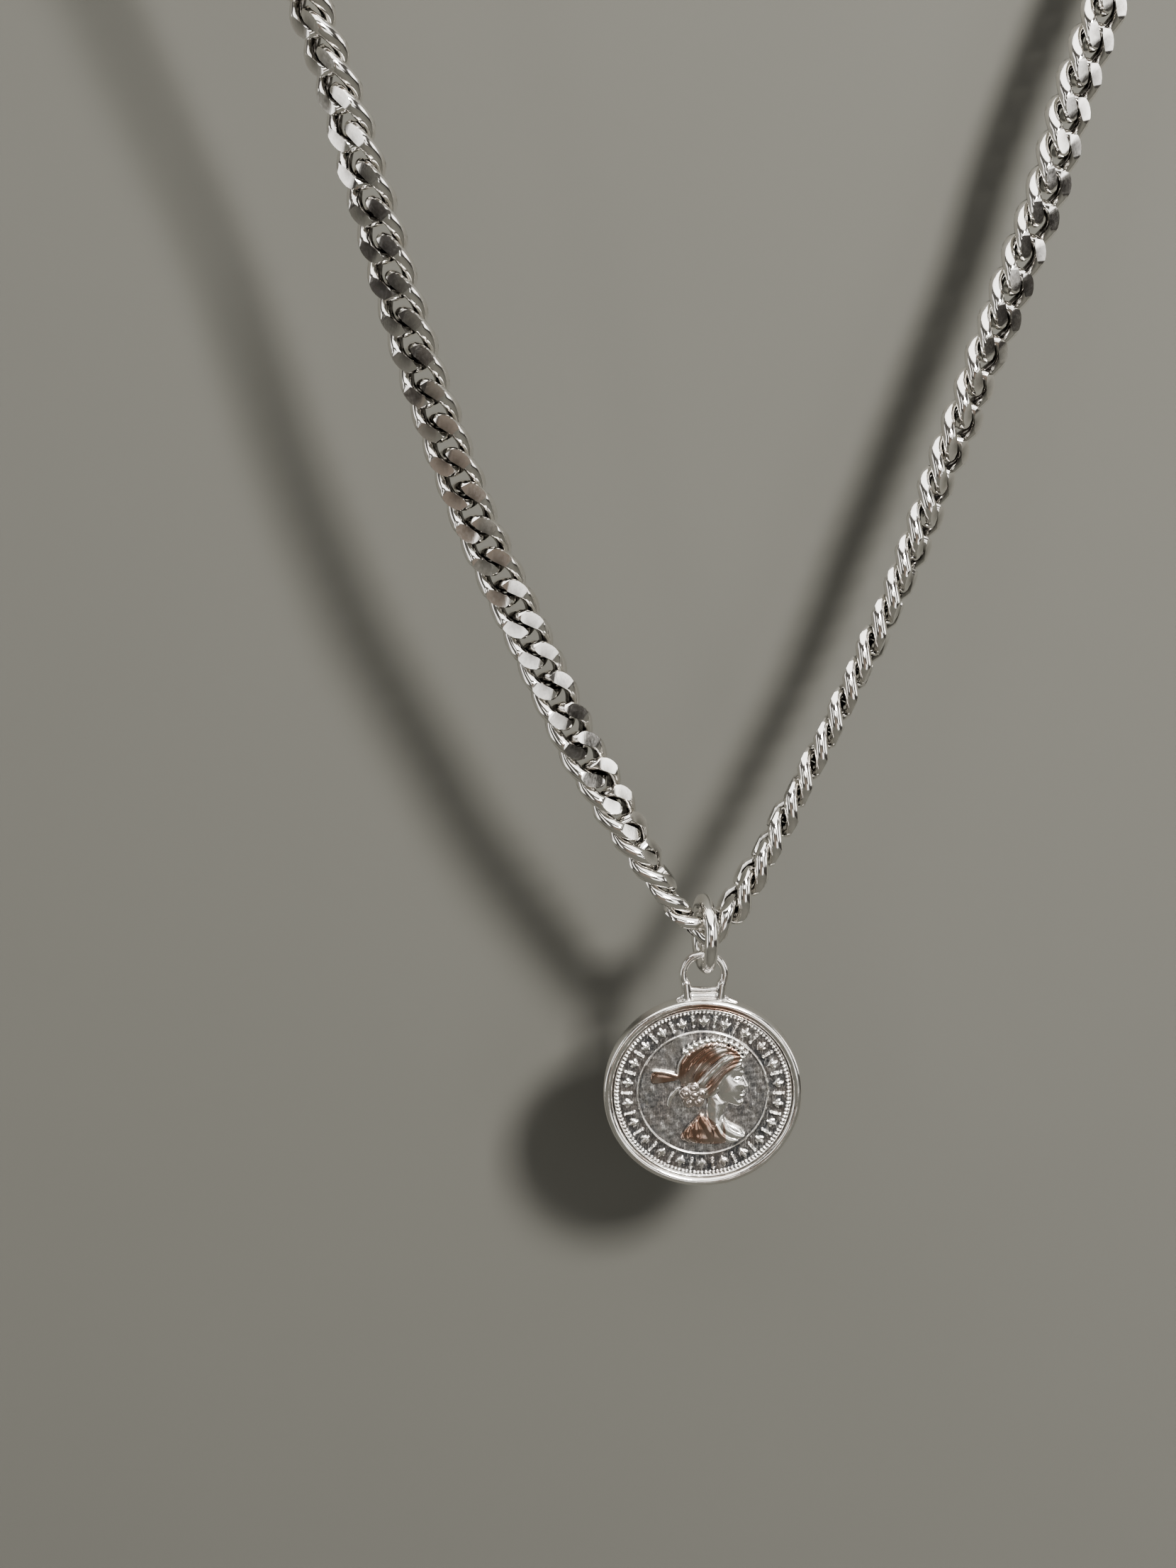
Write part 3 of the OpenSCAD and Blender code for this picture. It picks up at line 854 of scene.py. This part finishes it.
def shape_hair(relief):
    """Hair drawn back in locks, the curls of the knot, the wreath and the ribbon's tails."""
    relief.pillow(RIBBON_END, 0.2, 0.09)
    # Painted brown reflection on the ribbon's end
    relief.paint(RIBBON_END, 0.9)
    upper_tail = [(-0.4, -0.02), (-0.56, 0.05), (-0.7, 0.085), (-0.85, 0.1)]
    relief.ridge(upper_tail, 0.036, 0.2, 0.1, (0.1, 0.1))
    lower_tail = [(-0.38, -0.14), (-0.5, -0.18), (-0.58, -0.28), (-0.62, -0.42)]
    relief.ridge(lower_tail, 0.038, 0.16, 0.04, (0.1, 0.4))
    relief.pillow(HAIR, 0.36, 0.14)
    # Painted brown reflection over the hair
    relief.paint(HAIR, 0.95)
    for k in range(LOCK_COUNT):
        share = k / (LOCK_COUNT - 1)
        lift = 0.05 * sin(pi * share) + 0.03 * (k % 2)
        relief.ridge(lock_line(share), 0.074, 0.17, 0.25 + lift, (0.3, 0.3), 2)
    front_lock = [(0.31, 0.24), (0.22, 0.13), (0.1, -0.01), (0.03, -0.13), (-0.06, -0.22)]
    relief.ridge(front_lock, 0.036, 0.16, 0.27)
    relief.ridge(BAND, BAND_W, 0.16, 0.36, (0.15, 0.15))
    for side in (-1, 1):
        relief.groove(beside_band(side * 1.1), 0.014, 0.1)
    # Almost no painted reflection on the band
    relief.paint(beside_band(1) + beside_band(-1)[::-1], 0.05)
    octagon = [KNOT + KNOT_R * np.array([cos(a), sin(a)]) for a in np.arange(8) * pi / 4]
    # Painted brown reflection over the knot, at about half strength
    relief.paint(octagon, 0.45)
    for k, (turn, reach, size) in enumerate(KNOT_CURLS):
        at = KNOT + reach * np.array([cos(radians(turn)), sin(radians(turn))])
        relief.ball(at, size, 0.2, 0.3 + 0.02 * (k % 3))
        curl = [
            at + size * (0.75 - 0.09 * q) * np.array([cos(q * 1.1 + k), sin(q * 1.1 + k)])
            for q in range(CURL_TURNS)
        ]
        relief.groove(curl, 0.011, 0.05)
    for k in range(WREATH_COUNT):
        a = radians(WREATH_FROM + (WREATH_TO - WREATH_FROM) * k / (WREATH_COUNT - 1))
        at = np.array([cos(a), sin(a)])
        relief.ball(WREATH_R * at, 0.03, 0.14, 0.3, 1.7, a + radians(62))
        relief.ball((WREATH_R - 0.062) * at, 0.026, 0.12, 0.38, 1.5, a + radians(118))
        relief.ball((WREATH_R + 0.035) * at, 0.017, 0.1, 0.28)


def shape_shoulder(relief):
    """Draped shoulder, cut in an arc below."""
    relief.pillow(SHOULDER, 0.34, 0.1)
    # Painted brown reflection over the shoulder's left part
    relief.paint([p for p in SHOULDER if p[0] < 0.2] + [(0.12, -0.8)], 0.95)
    border = [(-0.18, -0.54), (-0.1, -0.68), (-0.04, -0.8), (-0.02, -0.93)]
    relief.ridge(border, 0.055, 0.1, 0.32, (0.2, 0.4))
    for fold, width, height, base in (
        ([(-0.24, -0.62), (-0.24, -0.74), (-0.22, -0.84), (-0.18, -0.93)], 0.045, 0.08, 0.32),
        ([(-0.32, -0.68), (-0.36, -0.78), (-0.36, -0.86), (-0.32, -0.92)], 0.04, 0.07, 0.31),
        ([(0.12, -0.62), (0.16, -0.72), (0.26, -0.8), (0.4, -0.84)], 0.05, 0.1, 0.31),
        ([(0.04, -0.68), (0.1, -0.8), (0.2, -0.88), (0.32, -0.9)], 0.04, 0.08, 0.32),
    ):
        relief.ridge(fold, width, height, base, (0.3, 0.3))


def softened(z, rounds):
    """The height map after a few rounds of averaging with its neighbours."""
    for _ in range(rounds):
        wide = np.pad(z, 1, mode="edge")
        z = (4 * z + wide[:-2, 1:-1] + wide[2:, 1:-1] + wide[1:-1, :-2] + wide[1:-1, 2:]) / 8
    return z


def make_bust():
    """Bust in relief as a closed piece set in the coin's field."""
    relief = Relief()
    shape_shoulder(relief)
    shape_head(relief)
    shape_hair(relief)
    raised = softened(relief.z, FORM_ROUNDS)
    x, y = relief.x * HEAD_H + HEAD_AT[0], relief.y * HEAD_H + HEAD_AT[1]
    raised = np.where(raised > 0, raised + 0.008 * wobble(x, y, 0.35, 12), raised)
    raised = np.minimum(raised, BUST_TOP)
    hollow = np.clip((softened(raised, HOLLOW_ROUNDS) - raised) / HOLLOW_DEPTH, 0, 1)
    corner = raised > -0.6 * SINK
    kept = corner[:-1, :-1] | corner[1:, :-1] | corner[:-1, 1:] | corner[1:, 1:]
    number = np.full(raised.shape, -1)
    used = np.zeros(raised.shape, bool)
    for part in (np.s_[:-1, :-1], np.s_[1:, :-1], np.s_[:-1, 1:], np.s_[1:, 1:]):
        used[part] |= kept
    number[used] = np.arange(used.sum())
    count = int(used.sum())
    a, b = number[:-1, :-1][kept], number[:-1, 1:][kept]
    c, d = number[1:, 1:][kept], number[1:, :-1][kept]
    top = np.stack([a, b, c, d], 1)
    floor = top[:, ::-1] + count
    sides = np.vstack([np.stack(pair, 1) for pair in ((a, b), (b, c), (c, d), (d, a))])
    keys = sides[:, 0] * (count + 1) + sides[:, 1]
    border = sides[~np.isin(keys, sides[:, 1] * (count + 1) + sides[:, 0])]
    walls = np.stack([border[:, 1], border[:, 0], border[:, 0] + count, border[:, 1] + count], 1)
    flat = np.stack([x[used], y[used]], 1)
    points = np.vstack([
        np.column_stack([flat, FIELD_H + raised[used]]),
        np.column_stack([flat, np.full(count, FIELD_H - BUST_BED)]),
    ])
    faces = np.vstack([top, floor, walls]).tolist()
    low = np.clip(1 - raised[used] / BARE_H, 0, 1)
    patina = np.clip(np.maximum(low, hollow[used]), 0, 1)
    # Painted brown reflection of the bust, softened and broken into patches
    spots = np.clip(0.9 + 0.5 * wobble(x[used], y[used], 0.9, 14), 0.2, 1)
    tone_and_reflection = softened(relief.tone, REFLECTION_ROUNDS)[used] * spots
    coin_piece(
        "coin_bust", coin_to_frame(points), faces, RELIEF_SILVER,
        np.tile(patina, 2), np.tile(tone_and_reflection, 2),
    )


# Coin: the loop on top
LOOP_W = 3.7
LOOP_WIRE = 0.62
LOOP_VOXEL = 0.055
RELAX_SHARE, RELAX_ROUNDS = 0.5, 5
# How far below the coin's top the legs go down, and where they stand in the loop's half width
LEG_SINK, LEG_AT = 0.2, 0.78
# Thickness of the legs next to the loop's wire
LEG_SHARE = 1.22
# Solder run out beside the loop's legs: places from the rim's top, and thickness
SOLDER_RUNS = (
    ([(-1.55, 0.0), (-1.42, 0.14), (-1.28, 0.3)], 0.25),
    ([(-1.9, -0.2), (-1.6, -0.08)], 0.22),
    ([(1.2, 0.34), (1.36, 0.12), (1.62, -0.06)], 0.27),
    ([(1.62, -0.12), (2.05, -0.3), (2.4, -0.44)], 0.22),
)
LOOP_PLACE = Vector((0, 0, COIN_HIGH.z / MM - LOOP_W / 2))


def add_tube(shape, points, radius, sides=20):
    """Round bar with ball ends along a line in the loop's plane."""
    line = [Vector((p[0], p[2] if len(p) > 2 else 0, p[1])) for p in points]
    for k, here in enumerate(line):
        place = Matrix.Translation(here)
        bmesh.ops.create_icosphere(shape, subdivisions=3, radius=radius, matrix=place)
        if k + 1 < len(line):
            step = line[k + 1] - here
            turn = step.to_track_quat("Z", "Y").to_matrix().to_4x4()
            place = Matrix.Translation((here + line[k + 1]) / 2) @ turn
            bmesh.ops.create_cone(
                shape, cap_ends=True, segments=sides, radius1=radius, radius2=radius,
                depth=step.length, matrix=place,
            )


def make_loop():
    """Cast loop: a round wire on two legs, with solder run out over the rim."""
    shape = bmesh.new()
    reach = (LOOP_W - LOOP_WIRE) / 2
    foot = COIN_HIGH.z / MM - LOOP_W / 2 - (COIN_PLACE.z / MM + COIN_R)
    wire = LOOP_WIRE / 2
    arch = [(reach * cos(radians(a)), reach * sin(radians(a))) for a in range(-30, 211, 10)]
    right, left = [(side * LEG_AT * reach, -foot - LEG_SINK) for side in (1, -1)]
    add_tube(shape, [right, *arch, left], wire)
    upper_bar = [(-0.72 * reach, -1.24), (0, -1.3), (0.72 * reach, -1.22)]
    add_tube(shape, upper_bar, 0.86 * wire)
    lower_bar = [(-0.9 * reach, -foot + 0.06), (0, -foot + 0.1), (0.9 * reach, -foot + 0.06)]
    add_tube(shape, lower_bar, 0.8 * wire)
    for side, end in ((-1, left), (1, right)):
        start_of_arch = (side * reach * cos(pi / 6), -reach * sin(pi / 6))
        add_tube(shape, [end, start_of_arch], LEG_SHARE * wire)
    for line, size in SOLDER_RUNS:
        add_tube(shape, [(x, y - foot) for x, y in line], size)
    mesh = bpy.data.meshes.new("loop_shape")
    shape.to_mesh(mesh)
    shape.free()
    carrier = bpy.data.objects.new("loop_shape", mesh)
    bpy.context.scene.collection.objects.link(carrier)
    remesh = carrier.modifiers.new("blend", "REMESH")
    remesh.mode = "VOXEL"
    remesh.voxel_size = LOOP_VOXEL
    relax = carrier.modifiers.new("relax", "SMOOTH")
    relax.factor = RELAX_SHARE
    relax.iterations = RELAX_ROUNDS
    solid = carrier.evaluated_get(bpy.context.evaluated_depsgraph_get()).to_mesh()
    points = np.array([v.co for v in solid.vertices])
    faces = [list(p.vertices) for p in solid.polygons]
    bpy.data.objects.remove(carrier)
    low = np.clip(1 - (points[:, 2] + foot + 0.3) / 0.5, 0, 1)
    faint = 0.3 * np.clip(wobble(points[:, 0], points[:, 2], 1.5, 15), 0, 1)
    coin_piece("coin_loop", points + np.array(LOOP_PLACE), faces, RIM_SILVER, 0.5 * low, faint)


make_rim()
make_face()
make_bust()
make_loop()


# Floor, backdrop and light, placed in metres
WALL_Y = 0.0145
FLOOR_Z = -0.6
STAGE_REACH = 1.1
STAGE_ROUGHNESS = 0.85
STAGE_CLOUD = 30
STAGE_SHADE = 0.95


def stage_plane(name, corners, colour):
    """Plain pale sheet, seen from its front side only."""
    material, nodes, links = new_material(name)
    shader = nodes["Principled BSDF"]
    shader.inputs["Roughness"].default_value = STAGE_ROUGHNESS
    cloud = noise(nodes, links, object_coordinates(nodes), STAGE_CLOUD, 3.0)
    shade = tuple(STAGE_SHADE * c for c in colour)
    links.new(mix_colour(nodes, links, cloud, colour, shade), shader.inputs["Base Color"])
    clear = nodes.new("ShaderNodeBsdfTransparent")
    sides = nodes.new("ShaderNodeNewGeometry")
    pick = nodes.new("ShaderNodeMixShader")
    links.new(sides.outputs["Backfacing"], pick.inputs[0])
    links.new(shader.outputs["BSDF"], pick.inputs[1])
    links.new(clear.outputs["BSDF"], pick.inputs[2])
    links.new(pick.outputs["Shader"], nodes["Material Output"].inputs["Surface"])
    mesh = bpy.data.meshes.new(name)
    mesh.from_pydata(corners, [], [[0, 1, 2, 3]])
    mesh.materials.append(material)
    sheet = bpy.data.objects.new(name, mesh)
    bpy.context.scene.collection.objects.link(sheet)


def area_light(name, place, target, size, energy, colour):
    data = bpy.data.lights.new(name, "AREA")
    data.shape = "RECTANGLE"
    data.size, data.size_y = size
    data.energy = energy
    data.color = colour
    lamp = bpy.data.objects.new(name, data)
    lamp.location = place
    lamp.rotation_mode = "QUATERNION"
    lamp.rotation_quaternion = (Vector(target) - Vector(place)).to_track_quat("-Z", "Y")
    bpy.context.scene.collection.objects.link(lamp)


DIM = (0.1, 0.095, 0.088)
LOW_DIM = (0.035, 0.031, 0.028)
BROWN = (0.23, 0.195, 0.165)
BROWN_FROM = (-0.07, -0.96, -0.27)
# Where the brown card begins and is full, as the cosine of the angle from its middle
CARD_EDGE = (0.88, 0.94)
# Heights of view between which the room goes from dark to dim
ROOM_EDGE = (-0.5, 0.1)
# Soft bright panels of the studio: sideways from and to, height from and to, brightness
PANELS = (
    (-1.2, 1.2, 0.68, 1.2, 2.5),
    (0.5, 0.66, -0.02, 0.44, 2.2),
    (0.93, 0.985, -0.06, 0.45, 2.4),
    (0.07, 0.46, -0.42, -0.1, 1.35),
    (-0.61, -0.57, -0.12, 0.4, 2.6),
    (-0.95, -0.92, -0.45, 0.35, 1.6),
    (-0.22, 0.24, 0.26, 0.38, 3.0),
    (-0.34, -0.2, -0.62, -0.5, 2.2),
)
PANEL_EDGE = 0.05
PANEL_TINT = (1, 0.985, 0.955)


def inside_band(nodes, links, value, low, high):
    """One inside a band of directions and zero outside it, with a soft edge."""
    rise = rescale(nodes, links, value, low - PANEL_EDGE, low, 0, 1)
    fall = rescale(nodes, links, value, high, high + PANEL_EDGE, 1, 0)
    return combine(nodes, links, "MULTIPLY", rise, fall)


def studio_world():
    """Dim room with soft bright panels all round and a brown card in front of the coin."""
    world = bpy.data.worlds.new("studio")
    bpy.context.scene.world = world
    world.use_nodes = True
    nodes, links = world.node_tree.nodes, world.node_tree.links
    facing = nodes.new("ShaderNodeTexCoord").outputs["Generated"]
    parts = nodes.new("ShaderNodeSeparateXYZ")
    links.new(facing, parts.inputs["Vector"])
    height = rescale(nodes, links, parts.outputs["Z"], *ROOM_EDGE, 0, 1)
    room = mix_colour(nodes, links, height, LOW_DIM, DIM)
    towards = nodes.new("ShaderNodeVectorMath")
    towards.operation = "DOT_PRODUCT"
    links.new(facing, towards.inputs[0])
    towards.inputs[1].default_value = BROWN_FROM
    card = rescale(nodes, links, towards.outputs["Value"], *CARD_EDGE, 0, 1)
    room = mix_colour(nodes, links, card, room, BROWN)
    for left, right, low, high, bright in PANELS:
        across = inside_band(nodes, links, parts.outputs["X"], left, right)
        along = inside_band(nodes, links, parts.outputs["Z"], low, high)
        panel = combine(nodes, links, "MULTIPLY", across, along)
        room = mix_colour(nodes, links, panel, room, tuple(bright * tint for tint in PANEL_TINT))
    links.new(room, nodes["Background"].inputs["Color"])


PALE = (0.096, 0.0945, 0.084)
R = STAGE_REACH
FLOOR = [(-R, -R, FLOOR_Z), (R, -R, FLOOR_Z), (R, R, FLOOR_Z), (-R, R, FLOOR_Z)]
WALL = [(-R, WALL_Y, FLOOR_Z), (R, WALL_Y, FLOOR_Z), (R, WALL_Y, R), (-R, WALL_Y, R)]
KEY_PLACE, KEY_TARGET = (0.2, -0.4, 0.12), (0, 0, -0.16)
KEY_SIZE, KEY_ENERGY, KEY_COLOUR = (0.09, 0.09), 6.0, (1, 0.98, 0.95)

stage_plane("floor", FLOOR, PALE)
stage_plane("backdrop", WALL, PALE)
area_light("key", KEY_PLACE, KEY_TARGET, KEY_SIZE, KEY_ENERGY, KEY_COLOUR)
studio_world()
bpy.context.scene.view_settings.look = "AgX - Medium High Contrast"
